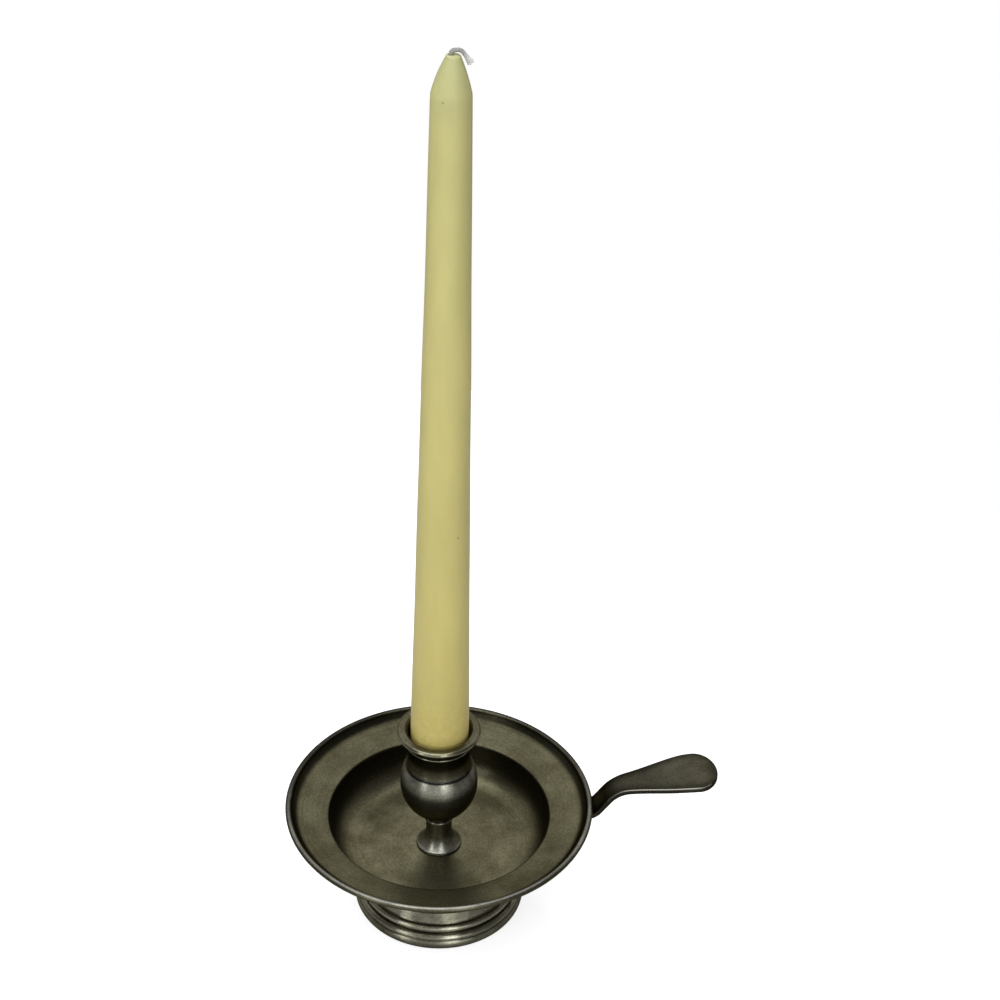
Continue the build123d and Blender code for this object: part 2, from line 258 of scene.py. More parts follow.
def pewter(name, dark, light, satin, streak, wear, bare, way, painted_tones):
    """Old pewter: a mottled grey skin, painted highlights and painted shade in bands, painted shade in its
    creases, bright wear on its edges and fine tool marks.

    dark and light are the colours of the skin's clouds, and satin is its roughness.
    streak is how far the gloss is drawn out across the marks of the lathe, and 0 where nothing was turned.
    wear is how much of the bright metal shows on edges.
    bare is how much of its warm colour the skin keeps where its painted tones are brightest, that is under a
    painted highlight.
    way says what the painted tone stops are measured along, in millimetres: height, radius or reach.
    painted_tones gives the stops and how bright the skin is painted at each: painted highlights where above
    1, painted shade where below.
    """
    bright_metal = (0.3, 0.295, 0.265)
    glancing_sheen = (0.5, 0.47, 0.36)
    mark_sway, mark_stretch = 0.012, 0.06
    brightest = 4
    material, tree, metal = new_finish(name)
    place = object_place(tree)
    axes = add(tree, "ShaderNodeSeparateXYZ", {0: place}).outputs
    radius = from_axis(tree, place)
    along = {"height": axes["Z"], "radius": radius, "reach": axes["X"]}[way]
    # Tool marks run round a turned piece, and along the handle
    if streak:
        grooves = add(tree, "ShaderNodeCombineXYZ", {0: radius, 1: axes["Z"]}).outputs[0]
        sway = times(tree, place, mark_sway)
        grooves = add(tree, "ShaderNodeVectorMath", {0: grooves, 1: sway}, operation="ADD").outputs[0]
        round_axis = add(tree, "ShaderNodeVectorMath", {0: (0, 0, 1), 1: place}, operation="CROSS_PRODUCT")
        tree.links.new(round_axis.outputs[0], metal.inputs["Tangent"])
        metal.inputs["Anisotropic"].default_value = streak
        metal.inputs["Anisotropic Rotation"].default_value = 0.25
    else:
        grooves = add(tree, "ShaderNodeMapping", {"Vector": place, "Scale": (mark_stretch, 1, 1)}).outputs[0]
    marks = mottle(tree, grooves, 1500, 3)
    clouds = mottle(tree, place, 70, 6, 0.62)
    grain = mottle(tree, place, 1300, 2)
    # The skin, clouded, speckled and scored
    skin = blend(tree, carry(tree, clouds, 0.36, 0.64), dark, light)
    skin = times(tree, skin, carry(tree, grain, 0.25, 0.75, 0.72, 1.28))
    skin = times(tree, skin, carry(tree, marks, 0.3, 0.7, 0.9, 1.1))
    # Painted highlights and painted shade: the skin made lighter or darker band by band along the piece
    low, high = painted_tones[0][0], painted_tones[-1][0]
    ramp = add(tree, "ShaderNodeValToRGB", {0: carry(tree, along, low * mm, high * mm)})
    while len(ramp.color_ramp.elements) < len(painted_tones):
        ramp.color_ramp.elements.new(1)
    for stop, (at, tone) in zip(ramp.color_ramp.elements, painted_tones):
        stop.position = (at - low) / (high - low)
        stop.color = (tone / brightest, tone / brightest, tone / brightest, 1)
    tone = reckon(tree, "MULTIPLY", ramp.outputs[0], brightest)
    skin = times(tree, skin, tone)
    # The skin keeps less of its warm colour where its painted tones are brightest, as a painted highlight
    # would
    warmth = carry(tree, tone, 1.2, 2, 1, bare)
    skin = add(tree, "ShaderNodeHueSaturation", {"Saturation": warmth, "Color": skin}).outputs[0]
    # Bright wear on edges, and painted shade where other surfaces close in
    bend = add(tree, "ShaderNodeNewGeometry").outputs["Pointiness"]
    skin = blend(tree, carry(tree, bend, 0.51, 0.57, 0, wear), skin, bright_metal)
    # Painted shade: the skin is darkened by ambient occlusion within 2 mm
    open_air = add(tree, "ShaderNodeAmbientOcclusion", {"Distance": 2 * mm}, samples=6).outputs["AO"]
    skin = times(tree, skin, carry(tree, open_air, 0.2, 0.75, 0.5, 1))
    tree.links.new(skin, metal.inputs["Base Color"])
    metal.inputs["Metallic"].default_value = 1
    # Tarnish keeps the sheen at a glancing angle low and warm
    metal.inputs["Specular Tint"].default_value = (*glancing_sheen, 1)
    rough = carry(tree, clouds, 0.3, 0.7, satin + 0.05, satin - 0.05)
    tree.links.new(rough, metal.inputs["Roughness"])
    relief = reckon(tree, "ADD", marks, grain)
    bump = add(tree, "ShaderNodeBump", {"Strength": 0.12, "Distance": 0.05 * mm, "Height": relief})
    tree.links.new(bump.outputs[0], metal.inputs["Normal"])
    return material


turning = lathe()
foot_bead_start = foot_torus_height + foot_groove_height
foot_bead_end = foot_bead_start + foot_bead_height
foot_middle = (foot_bead_end + foot_height) / 2
foot_rest_edge = foot_base - foot_rest
foot_rest_middle = ((foot_base + foot_rest_edge) / 2, 0)
fine_line = (fine_line_radius, fine_line_height + fine_line_width)
foot_profile = [foot_rest_middle, (foot_base, 0, foot_base_round)]
foot_profile += arc(
    (foot_base, 0),
    (foot_torus, fine_line_height / 2),
    (fine_line_radius + fine_line_depth, fine_line_height),
)
foot_profile += [fine_line]
foot_profile += arc(
    fine_line,
    (upper_swell, (fine_line_height + foot_torus_height) / 2 + upper_swell_rise),
    (foot_groove, foot_torus_height),
)
foot_profile += [(foot_groove, foot_bead_start)]
foot_profile += arc(
    (foot_groove, foot_bead_start),
    (foot_bead, (foot_bead_start + foot_bead_end) / 2),
    (foot_fillet, foot_bead_end),
)
foot_profile += [(foot_fillet - foot_fillet_depth, foot_bead_end + foot_fillet_height)]
foot_profile += arc(
    (foot_waist + foot_cove_spread, foot_middle - foot_cove_drop),
    (foot_waist, foot_middle + foot_waist_rise),
    (foot_top, foot_height),
    24,
)
foot_profile += [(foot_top - foot_wall, foot_height)]
foot_profile += arc(
    (foot_top - foot_wall, foot_height), (foot_waist - foot_wall, foot_middle), (foot_rest_edge, 0), 24
)
foot_profile += [foot_rest_middle]
foot = draw("foot", foot_profile)
# Painted highlights on the torus and the bead, and painted shade at the fine line, the groove and up under
# the saucer, by height
foot_tones = [
    (0, 1),
    (0.6, 2.2),
    (1.3, 1.7),
    (fine_line_height - 0.2, 1.8),
    (fine_line_height + 0.05, 1),
    (fine_line_height + 0.3, 2.2),
    (foot_torus_height - 0.3, 2.2),
    (foot_torus_height, 1),
    (foot_bead_start, 1),
    (foot_bead_start + 0.3, 2.8),
    (foot_bead_end - 0.3, 2.6),
    (foot_bead_end + 0.1, 1.1),
    (foot_bead_end + 0.7, 1.6),
    (foot_height - 3.6, 1.5),
    (foot_height, 0.5),
]
foot_pewter = pewter(
    "foot_pewter",
    dark=(0.085, 0.078, 0.053),
    light=(0.163, 0.154, 0.112),
    satin=0.26,
    streak=0.75,
    wear=0.6,
    bare=0.9,
    way="height",
    painted_tones=foot_tones,
)
grow(foot, turning, facets=224, round_steps=4, longest_run=1.2 * mm, finish=foot_pewter)
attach(foot, "holder")
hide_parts("foot_ring")


# Saucer: the dish that catches the wax, with a flat well, a broad flange and a turned-up, rolled edge.
# Spun from one pewter sheet over a former, and its edge rolled over into a round roll.
sheet, sheet_edge = 1.7, 0.2
floor_height = foot_height + sheet
screw_hole = 2.3
well_radius, well_depth, well_lean, well_round, well_edge = 44.3, 15.9, 1.9, 10.0, 0.9
flange_rise = 2.6
curl_slope, curl_round = 48, 3.5
rim_radius, rim_rise, rim_roll, roll_steps = 61.7, 3.35, 1.2, 28
# Painted shade on the roll along Y in mm: none in front of the first, full behind the second, and how much it
# darkens
roll_unshaded_front, roll_shaded_back, roll_back_shade = -30, 35, 0.75

well_top = floor_height + well_depth
flange_top = well_top + flange_rise
curl = math.radians(curl_slope)
roll_reach = rim_radius - rim_roll
roll_height = flange_top + rim_rise - rim_roll
rim_edge = roll_reach - sheet / 2 * math.sin(curl)
rim_top = roll_height + sheet / 2 * math.cos(curl)
curl_radius = rim_edge - (rim_top - flange_top) / math.tan(curl)
face = [
    (screw_hole, floor_height),
    (well_radius - well_lean, floor_height),
    (well_radius, well_top),
    (curl_radius, flange_top),
    (rim_edge, rim_top),
]


def under(line, depth):
    """The same line on the other side of the sheet."""
    sides = []
    for k in range(len(line) - 1):
        along = complex(*line[k + 1]) - complex(*line[k])
        sides.append(-1j * along / abs(along) * depth)
    moved = []
    for k, point in enumerate(line):
        a, b = sides[max(k - 1, 0)], sides[min(k, len(sides) - 1)]
        shift = (a + b) / (1 + (a * b.conjugate()).real / depth**2)
        moved.append((point[0] + shift.real, point[1] + shift.imag))
    return moved


back = under(face, sheet)
hole_middle = (screw_hole, floor_height - sheet / 2)
saucer_profile = [hole_middle, (*face[0], sheet_edge)]
saucer_profile += [(*p, r) for p, r in zip(face[1:4], (well_round, well_edge, curl_round))]
# The roll starts where the turned-up sheet runs into it, and goes over its top to the sheet's underside
gap = math.asin(sheet / 2 / rim_roll)
for n in range(roll_steps + 1):
    a = math.pi + curl - gap - (math.tau - 2 * gap) * n / roll_steps
    saucer_profile.append((roll_reach + rim_roll * math.cos(a), roll_height + rim_roll * math.sin(a)))
back_rounds = (curl_round + sheet, well_edge + sheet, well_round - sheet)
saucer_profile += [(*p, r) for p, r in zip(back[3:0:-1], back_rounds)]
saucer_profile += [(*back[0], sheet_edge), hole_middle]
saucer = draw("saucer_dish", saucer_profile)
# Painted shade at the well's edge and in the curl, and a painted highlight on the roll, by distance from the
# axis
saucer_tones = [
    (2, 1.2),
    (well_radius - 3.3, 1.2),
    (well_radius - well_lean, 0.8),
    (well_radius - 0.6, 0.55),
    (well_radius - 0.2, 0.4),
    (well_radius + 0.3, 0.4),
    (well_radius + 0.7, 1),
    (roll_reach - 4.7, 1.05),
    (roll_reach - 3.7, 0.8),
    (roll_reach - 2.9, 0.4),
    (roll_reach - 2.3, 0.3),
    (roll_reach - 1, 0.35),
    (roll_reach - 0.5, 1.7),
    (roll_reach + 0.65, 1.9),
    (roll_reach + 0.9, 1.1),
    (rim_radius, 0.5),
]
saucer_pewter = pewter(
    "saucer_pewter",
    dark=(0.088, 0.08, 0.046),
    light=(0.14, 0.13, 0.08),
    satin=0.36,
    streak=0.5,
    wear=0.5,
    bare=0.1,
    way="radius",
    painted_tones=saucer_tones,
)


def skin_of(material):
    """The material's nodes, the socket of its shader's colour, and the skin that colours it so far."""
    tree = material.node_tree
    colour = tree.nodes["Principled BSDF"].inputs["Base Color"]
    return tree, colour, colour.links[0].from_socket


# Painted shade on the roll: it is left light in front and darkened round the back
tree, colour, skin = skin_of(saucer_pewter)
place = object_place(tree)
on_roll = carry(tree, from_axis(tree, place), (roll_reach - 0.9) * mm, (roll_reach - 0.4) * mm)
backwards = add(tree, "ShaderNodeSeparateXYZ", {0: place}).outputs["Y"]
roll_side_shade = carry(tree, backwards, roll_unshaded_front * mm, roll_shaded_back * mm, 0, roll_back_shade, soft=True)
dull = reckon(tree, "MULTIPLY", on_roll, roll_side_shade)
skin = times(tree, skin, reckon(tree, "SUBTRACT", 1, dull))
tree.links.new(skin, colour)
grow(saucer, turning, facets=288, round_steps=8, longest_run=1.6 * mm, finish=saucer_pewter)
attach(saucer, "holder")
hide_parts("saucer")


# Socket stem: a small disc foot, a flared stem with a bead, and the bulb that carries the candle cup.
# Cast solid in pewter and turned, tapped from below for its screw and bored on top for the cup's spigot.
disc_radius, disc_edge, disc_under_round, disc_round = 9.1, 0.8, 0.15, 0.3
flare_radius, flare_height = 8.6, 6.6
stem_radius, stem_height = 5.2, 5.7
stem_bead, stem_bead_height = 5.9, 1.6
cove_radius, cove_height = 7.2, 2.8
bulb_radius, bulb_rise, bulb_shoulder, shoulder_height, shoulder_slope = 15.45, 15.1, 13.25, 9.3, 60
thread_radius, thread_depth, thread_edge = 2.05, 10.5, 0.2
recess_radius, recess_depth = 12.6, 7.6


def swing(start, heading, end, steps=12):
    """Points of the arc that leaves start in that heading and meets end, without start itself."""
    a, c, d = complex(*start), complex(*end), complex(*heading)
    half = cmath.phase((c - a) / d)
    middle = a + 1j * d / abs(d) * abs(c - a) / (2 * math.sin(half))
    turned = [middle + (a - middle) * cmath.rect(1, 2 * half * k / steps) for k in range(1, steps + 1)]
    return [(p.real, p.imag) for p in turned]


def bow(start, leaving, end, arriving, steps=12):
    """Points of an easy curve from start to end with those two headings, without start itself."""
    a, b = Vector(start), Vector(end)
    reach = (b - a).length
    out, into = Vector(leaving).normalized() * reach, Vector(arriving).normalized() * reach
    points = []
    for k in range(1, steps + 1):
        t = k / steps
        p = a * (2 * t**3 - 3 * t**2 + 1) + out * (t**3 - 2 * t**2 + t)
        p += b * (3 * t**2 - 2 * t**3) + into * (t**3 - t**2)
        points.append(tuple(p))
    return points


disc_top = floor_height + disc_edge
flare_top = disc_top + flare_height
bead_start = flare_top + stem_height
bead_middle = bead_start + stem_bead_height / 2
cove_start = bead_start + stem_bead_height
bulb_start = cove_start + cove_height
bulb_middle = bulb_start + bulb_rise
seat_height = bulb_middle + shoulder_height
recess_floor = seat_height - recess_depth
slope = math.radians(shoulder_slope)
thread_top = floor_height + thread_depth
stem_profile = [(0, thread_top), (thread_radius, thread_top), (thread_radius, floor_height, thread_edge)]
stem_profile += [(disc_radius, floor_height, disc_under_round), (disc_radius, disc_top, disc_round)]
stem_profile += [(flare_radius, disc_top)]
stem_profile += bow((flare_radius, disc_top), (-1, 1), (stem_radius, flare_top), (0, 1))
stem_profile += [(stem_radius, bead_start)]
stem_profile += arc((stem_radius, bead_start), (stem_bead, bead_middle), (stem_radius, cove_start))
stem_profile += swing((stem_radius, cove_start), (0, 1), (cove_radius, bulb_start))
lower_bulb = swing((bulb_radius, bulb_middle), (0, -1), (cove_radius, bulb_start), 20)
stem_profile += lower_bulb[-2::-1] + [(bulb_radius, bulb_middle)]
stem_profile += bow(
    (bulb_radius, bulb_middle), (0, 1), (bulb_shoulder, seat_height), (-math.cos(slope), math.sin(slope)), 16
)
stem_profile += [(recess_radius, seat_height), (recess_radius, recess_floor), (0, recess_floor)]
stem = draw("socket_bulb", stem_profile)
# Painted highlights on the disc's flare, the bead and the bulb's shoulder, and painted shade on the lower
# bulb and at its seat, by height
stem_tones = [
    (floor_height, 0.5),
    (disc_top, 0.6),
    (disc_top + 0.4, 2.6),
    (disc_top + 2.4, 2.6),
    (flare_top - 1.7, 1.5),
    (flare_top + 1.3, 1),
    (bead_start - 0.1, 0.9),
    (bead_middle, 2),
    (cove_start + 0.1, 0.9),
    (bulb_start - 0.8, 0.5),
    (bulb_start + 1.2, 0.28),
    (bulb_middle - 2.9, 0.28),
    (bulb_middle + 1.6, 0.7),
    (bulb_middle + 3.6, 1.7),
    (seat_height - 0.6, 1.7),
    (seat_height - 0.2, 0.15),
]
stem_pewter = pewter(
    "stem_pewter",
    dark=(0.12, 0.114, 0.086),
    light=(0.19, 0.183, 0.145),
    satin=0.33,
    streak=0.5,
    wear=0.1,
    bare=0.8,
    way="height",
    painted_tones=stem_tones,
)
grow(stem, turning, facets=176, round_steps=5, longest_run=1.2 * mm, finish=stem_pewter)
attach(stem, "holder")
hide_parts("socket_stem")


# Socket cup: the sleeve that grips the candle, with a hollowed neck, a thin ring and a flared, rounded lip.
# Turned from pewter, its closed spigot let into the bulb and soldered there.
bore_radius, bore_depth, bore_round, cup_wall = 11.9, 24.2, 0.5, 1.05
seat_groove, neck_hollow, neck_height = 0.25, 0.6, 11.2
ring_height, ring_proud = 0.9, 0.45
cup_height, lip_radius, lip_thickness, lip_round, lip_under_round = 17.9, 16.6, 1.7, 1.29, 0.34
flare_step = 0.02
mouth_radius, mouth_depth, mouth_round = 13.5, 3.2, 0.25
cup_floor, spigot_radius, spigot_round = 1.3, 12.5, 0.3

neck_radius = bore_radius + cup_wall
neck_start = seat_height + seat_groove
ring_start = seat_height + neck_height
ring_end = ring_start + ring_height
cup_top = seat_height + cup_height
lip_under = cup_top - lip_thickness
mouth_start = cup_top - mouth_depth
bore_floor = cup_top - bore_depth
spigot_end = bore_floor - cup_floor
cup_profile = [(0, spigot_end), (spigot_radius, spigot_end, spigot_round), (spigot_radius, seat_height)]
cup_profile += [(neck_radius - seat_groove, seat_height), (neck_radius, neck_start)]
cup_profile += arc(
    (neck_radius, neck_start),
    (neck_radius - neck_hollow, (neck_start + ring_start) / 2),
    (neck_radius, ring_start),
)
cup_profile += arc(
    (neck_radius, ring_start),
    (neck_radius + ring_proud, (ring_start + ring_end) / 2),
    (neck_radius, ring_end),
)
cup_profile += swing(
    (neck_radius, ring_end), (0, 1), (lip_radius - lip_under_round, lip_under + flare_step)
)
cup_profile += [(lip_radius, lip_under, lip_under_round), (lip_radius, cup_top, lip_round)]
cup_profile += [(mouth_radius, cup_top, mouth_round)]
mouth = swing((bore_radius, mouth_start), (0, 1), (mouth_radius, cup_top))
cup_profile += mouth[-2::-1] + [(bore_radius, mouth_start)]
cup_profile += [(bore_radius, bore_floor, bore_round), (0, bore_floor)]
cup = draw("candle_cup", cup_profile)
# Painted shade at the seat and on the neck, and painted highlights on the ring and the lip, by height
cup_tones = [
    (seat_height - 8.2, 0.5),
    (seat_height, 0.05),
    (seat_height + 0.7, 0.05),
    (seat_height + 1, 0.7),
    (seat_height + 4.3, 0.6),
    (seat_height + 6.3, 0.18),
    (ring_start - 0.2, 0.18),
    (ring_start + 0.4, 1.5),
    (ring_end + 0.3, 0.2),
    (lip_under - 0.6, 0.4),
    (lip_under + 0.4, 1.1),
    (cup_top - 0.6, 1.6),
    (cup_top - 0.15, 1.1),
    (cup_top, 0.75),
]
cup_pewter = pewter(
    "cup_pewter",
    dark=(0.124, 0.113, 0.07),
    light=(0.196, 0.182, 0.122),
    satin=0.25,
    streak=0.7,
    wear=0.4,
    bare=0.8,
    way="height",
    painted_tones=cup_tones,
)
grow(cup, turning, facets=176, round_steps=8, longest_run=1.2 * mm, finish=cup_pewter)
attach(cup, "holder")
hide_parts("socket_cup")


# Screw and washer: they hold the socket to the saucer from below, inside the foot.
# Plain turned steel, the screw's head slotted, gone a little dull.
steel_dark, steel_light = (0.2, 0.19, 0.17), (0.42, 0.41, 0.39)
steel, tree, metal = new_finish("dull_steel")
blotch = mottle(tree, object_place(tree), 420, 5, 0.65)
skin = blend(tree, blotch, steel_dark, steel_light)
tree.links.new(skin, metal.inputs["Base Color"])
metal.inputs["Metallic"].default_value = 1
tree.links.new(carry(tree, blotch, 0, 1, 0.5, 0.28), metal.inputs["Roughness"])
for name in ("socket_screw", "socket_washer"):
    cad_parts[name].data.materials.clear()
    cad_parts[name].data.materials.append(steel)


# Handle: a flat strip that leaves the well's wall under the rim, rises in an S and broadens to a spoon.
# Cast flat in pewter, bent, filed round along its edges and soldered to the wall.
strip, edge = 2.3, 0.7
root_height, root_width, root_end = 40.6, 10.6, 59.0
# Corners of its upper face: reach, height and radius of the bend
bends = [
    (42.3, root_height, 0),
    (62.2, root_height, 5),
    (71.0, 52.1, 14),
    (100.0, 56.3, 60),
    (114.9, 56.7, 0),
]
bend_step = 0.7
neck_place, neck_width = 70.2, 10.5
paddle_place, paddle_width, nose_length, nose_steps = 104.2, 22.0, 8.7, 30
wall_radius, wall_slope = 46.1, 0.1195
# Points across a face and round a quarter of an edge, and how near to its side the upper face's points come
across, quarter, face_share = 10, 6, 0.999
# Reach and depth of the painted highlight along the upper corner on the -Y side, and the darker margin of the
# upper face
glint_start, glint_full, glint_end, glint_depth = 56, 82, 109, 0.25
glint_colour, dark_margin, margin_tone = (0.21, 0.205, 0.176), 5, 0.45


def bent_line(corners, step):
    """Points about a step apart along a line of straight runs, each corner rounded by its third number."""
    points = [complex(*corners[0][:2])]
    for k in range(1, len(corners) - 1):
        p, q, s = (complex(*c[:2]) for c in corners[k - 1 : k + 2])
        into, out = (q - p) / abs(q - p), (s - q) / abs(s - q)
        turn = cmath.phase(out / into)
        reach = corners[k][2] * math.tan(abs(turn) / 2)
        first = q - into * reach
        middle = first + 1j * into * math.copysign(corners[k][2], turn)
        steps = max(4, math.ceil(corners[k][2] * abs(turn) / step))
        points += [middle + (first - middle) * cmath.rect(1, turn * n / steps) for n in range(steps + 1)]
    points.append(complex(*corners[-1][:2]))
    fine = [points[0]]
    for p, q in zip(points, points[1:]):
        cuts = max(1, math.ceil(abs(q - p) / step))
        fine += [p + (q - p) * n / cuts for n in range(1, cuts + 1)]
    return fine


def between(first, second, share):
    """The value that far on the way from the first to the second."""
    return first + (second - first) * share


def half_width(x):
    """Half the handle's width at that reach from the socket's axis."""
    if x <= root_end:
        return root_width / 2
    if x <= neck_place:
        t = (x - root_end) / (neck_place - root_end)
        return between(root_width, neck_width, t * t * (3 - 2 * t)) / 2
    if x <= paddle_place:
        t = (x - neck_place) / (paddle_place - neck_place)
        return between(neck_width, paddle_width, t * t * (3 - 2 * t)) / 2
    t = min(1, (x - paddle_place) / nose_length)
    return paddle_width / 2 * math.sqrt(1 - t * t)


upper = bent_line(bends, bend_step)
lengths = [0.0]
for p, q in zip(upper, upper[1:]):
    lengths.append(lengths[-1] + abs(q - p))


def on_strip(length, depth):
    """Reach and height of the point that far along the strip's upper face and that deep in it."""
    k = 1
    while k < len(lengths) - 2 and lengths[k] < length:
        k += 1
    along = (upper[k] - upper[k - 1]) / abs(upper[k] - upper[k - 1])
    p = upper[k - 1] + along * (length - lengths[k - 1])
    before = (upper[k - 1] - upper[k - 2]) / abs(upper[k - 1] - upper[k - 2]) if k > 1 else along
    after = (upper[k + 1] - upper[k]) / abs(upper[k + 1] - upper[k])
    share = (length - lengths[k - 1]) / (lengths[k] - lengths[k - 1])
    lean = (before + along) * (1 - share) + (along + after) * share
    p += -1j * lean / abs(lean) * depth
    return p.real, p.imag


# Cuts across the strip, as length along its upper face and reach, close together round the nose
cuts = [(l, u.real) for l, u in zip(lengths, upper) if wall_radius - 1 < u.real < paddle_place - 0.4]
last_run = complex(*bends[-1][:2]) - complex(*bends[-2][:2])
nose_end = lengths[-1] - (bends[-1][0] - paddle_place - nose_length) / math.cos(cmath.phase(last_run))
for n in range(nose_steps + 1):
    swell = nose_length * math.sin(math.pi / 2 * n / nose_steps)
    cuts.append((nose_end - nose_length + swell, paddle_place + swell))
# Once round a cut: how far in from the side, how deep, on which side, and at what share of the width
turns = [math.pi / 2 * n / quarter for n in range(quarter + 1)]
cut_line = [(edge, 0, -1, face_share * (1 - 2 * n / across)) for n in range(across + 1)]
cut_line += [(edge * (1 - math.sin(a)), edge * (1 - math.cos(a)), 1, 1) for a in turns[1:]]
cut_line += [(edge * (1 - math.cos(a)), strip - edge * (1 - math.sin(a)), 1, 1) for a in turns]
cut_line += [(edge, strip, 1, 1 - 2 * n / across) for n in range(1, across + 1)]
cut_line += [(edge * (1 - math.sin(a)), strip - edge * (1 - math.cos(a)), -1, 1) for a in turns[1:]]
cut_line += [(edge * (1 - math.cos(a)), edge * (1 - math.sin(a)), -1, 1) for a in turns[:-1]]
points, inside, rubbed_edge = [], [], []
for k, (length, reach) in enumerate(cuts):
    wide = half_width(reach)
    if k == len(cuts) - 1:
        normal = (1.0, 0.0)
    else:
        ahead, behind = cuts[k + 1], cuts[max(k - 1, 0)]
        run, gain = ahead[0] - behind[0], half_width(ahead[1]) - half_width(behind[1])
        normal = (-gain / math.hypot(run, gain), run / math.hypot(run, gain))
    for inset, depth, side, share in cut_line:
        y = side * max(0.0, wide - normal[1] * inset) * share
        x, z = on_strip(length - normal[0] * inset, depth)
        if k == 0:
            wall = wall_radius + (z - root_height) * wall_slope
            x = math.sqrt(wall**2 - y**2)
        points.append((x * mm, y * mm, z * mm))
        inside.append(min((1 - abs(share)) * wide, nose_end - length) if depth == 0 else 0.0)
        # Painted highlight: only the upper corner on the -Y side is marked, fading in from the neck to the
        # spoon
        on_corner = side < 0 and 0 < depth < glint_depth and reach < glint_end
        glint = (reach - glint_start) / (glint_full - glint_start)
        rubbed_edge.append(min(max(glint, 0), 1) if on_corner else 0.0)


def shell(rings, count, closed=False):
    """Faces between rings of count points, and from the last ring to the first if the shell is closed."""
    faces = []
    for k in range(rings if closed else rings - 1):
        a, b = k * count, (k + 1) % rings * count
        faces += [(a + n, a + (n + 1) % count, b + (n + 1) % count, b + n) for n in range(count)]
    return faces


mesh = bpy.data.meshes.new("spoon_handle")
mesh.from_pydata(points, [], [list(range(len(cut_line)))] + shell(len(cuts), len(cut_line)))
handle = set_out("spoon_handle", mesh)
for name, values in (("inside", inside), ("rubbed_edge", rubbed_edge)):
    mesh.attributes.new(name, "FLOAT", "POINT").data.foreach_set("value", values)
# Painted light and shade along the handle: darker over the neck, lighter on the spoon
handle_tones = [(46, 0.95), (66, 0.95), (74, 0.65), (84, 0.68), (94, 1.1), (106, 1.25), (113, 1.1)]
handle_pewter = pewter(
    "handle_pewter",
    dark=(0.055, 0.05, 0.034),
    light=(0.088, 0.082, 0.06),
    satin=0.3,
    streak=0,
    wear=0,
    bare=1,
    way="reach",
    painted_tones=handle_tones,
)
# Darker towards the edge of its upper face, and a painted highlight along the upper corner on the -Y side
tree, colour, skin = skin_of(handle_pewter)
from_edge = add(tree, "ShaderNodeAttribute", attribute_name="inside").outputs["Fac"]
skin = times(tree, skin, carry(tree, from_edge, 0, dark_margin, margin_tone, 1, soft=True))
edge_glint = add(tree, "ShaderNodeAttribute", attribute_name="rubbed_edge").outputs["Fac"]
tree.links.new(blend(tree, edge_glint, skin, glint_colour), colour)
handle.data.materials.append(handle_pewter)
weld(handle)
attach(handle, "holder")
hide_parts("handle")


# Candle: a tall household taper, a little out of true in the cup, its blunt tip drawn to one side.
# Dipped or moulded in ivory wax round its wick, pressed into the cup by hand.
butt_gap, candle_lean = 0.3, 0.8
candle_length, tip_length = 304.8, 13.6
butt_radius, butt_chamfer, base_radius, base_height = 11.0, 0.6, 11.45, 24.0
shoulder_radius, tip_radius, tip_skew, tip_swell, tip_share = 6.95, 2.2, 0.5, 1.76, 0.93
wick_hole, hole_mouth, hole_mouth_aside = 0.85, 1.12, -0.3
wick_rise, hole_aside = 1.4, -0.36
out_of_true, out_of_true_waves, ripple, ripple_waves = 0.05, 9, 0.05, 23
oval, oval_twist, lobes, lobes_twist = 0.04, 0.05, 0.03, 0.021
spokes = 96
wax_low, wax_high, wax_crown = (0.6, 0.5, 0.16), (0.62, 0.57, 0.235), (0.49, 0.48, 0.23)
wax_smeared, wax_dirt = (0.42, 0.31, 0.085), (0.22, 0.18, 0.08)
dirt_specks = ((0.77, -5.85, 353.75), (6.18, -8.63, 183.5))
candle_foot = bore_floor + butt_gap
shoulder = candle_length - tip_length
upright = Matrix.Translation((0, 0, candle_foot * mm)) @ Matrix.Rotation(math.radians(candle_lean), 4, "Y")


def shares(count):
    """That many even steps from just above 0 up to 1."""
    return [n / count for n in range(1, count + 1)]


# Rings up the outside and down the hole of the wick: radius, height and how far aside
rings = [(wick_hole, 0, 0), (butt_radius - butt_chamfer, 0, 0), (butt_radius, butt_chamfer, 0)]
for t in shares(12):
    rings.append((between(butt_radius, base_radius, t), between(butt_chamfer, base_height, t), 0))
for t in shares(120):
    uneven = math.sin(math.pi * t)
    radius = between(base_radius, shoulder_radius, t) + ripple * math.sin(ripple_waves * t) * uneven
    aside = out_of_true * math.sin(out_of_true_waves * t + 1) * uneven
    rings.append((radius, between(base_height, shoulder, t), aside))
for share in shares(24):
    t = share * tip_share
    radius = between(shoulder_radius, tip_radius, t) + tip_swell * t * (1 - t)
    rings.append((radius, shoulder + tip_length * t, tip_skew * t * t))
top_radius, top_height, top_aside = rings[-1]
for t in shares(8):
    rise, close = math.sin(math.pi / 2 * t), 1 - math.cos(math.pi / 2 * t)
    radius, aside = between(top_radius, hole_mouth, close), between(top_aside, hole_mouth_aside, close)
    rings.append((radius, between(top_height, candle_length, rise), aside))
for height in (candle_length - 0.4, candle_length - 4, shoulder, shoulder / 2):
    up_tip = max(0, (height - shoulder) / (candle_length + wick_rise - shoulder))
    rings.append((wick_hole, height, hole_aside * up_tip))
points = []
for radius, height, aside in rings:
    for n in range(spokes):
        a = math.tau * n / spokes
        out = radius
        if base_height < height < shoulder and radius > wick_hole:
            out += oval * math.sin(2 * a + height * oval_twist)
            out += lobes * math.sin(3 * a - height * lobes_twist)
        x, y = aside + out * math.cos(a), out * math.sin(a)
        points.append(upright @ Vector((x * mm, y * mm, height * mm)))
mesh = bpy.data.meshes.new("taper")
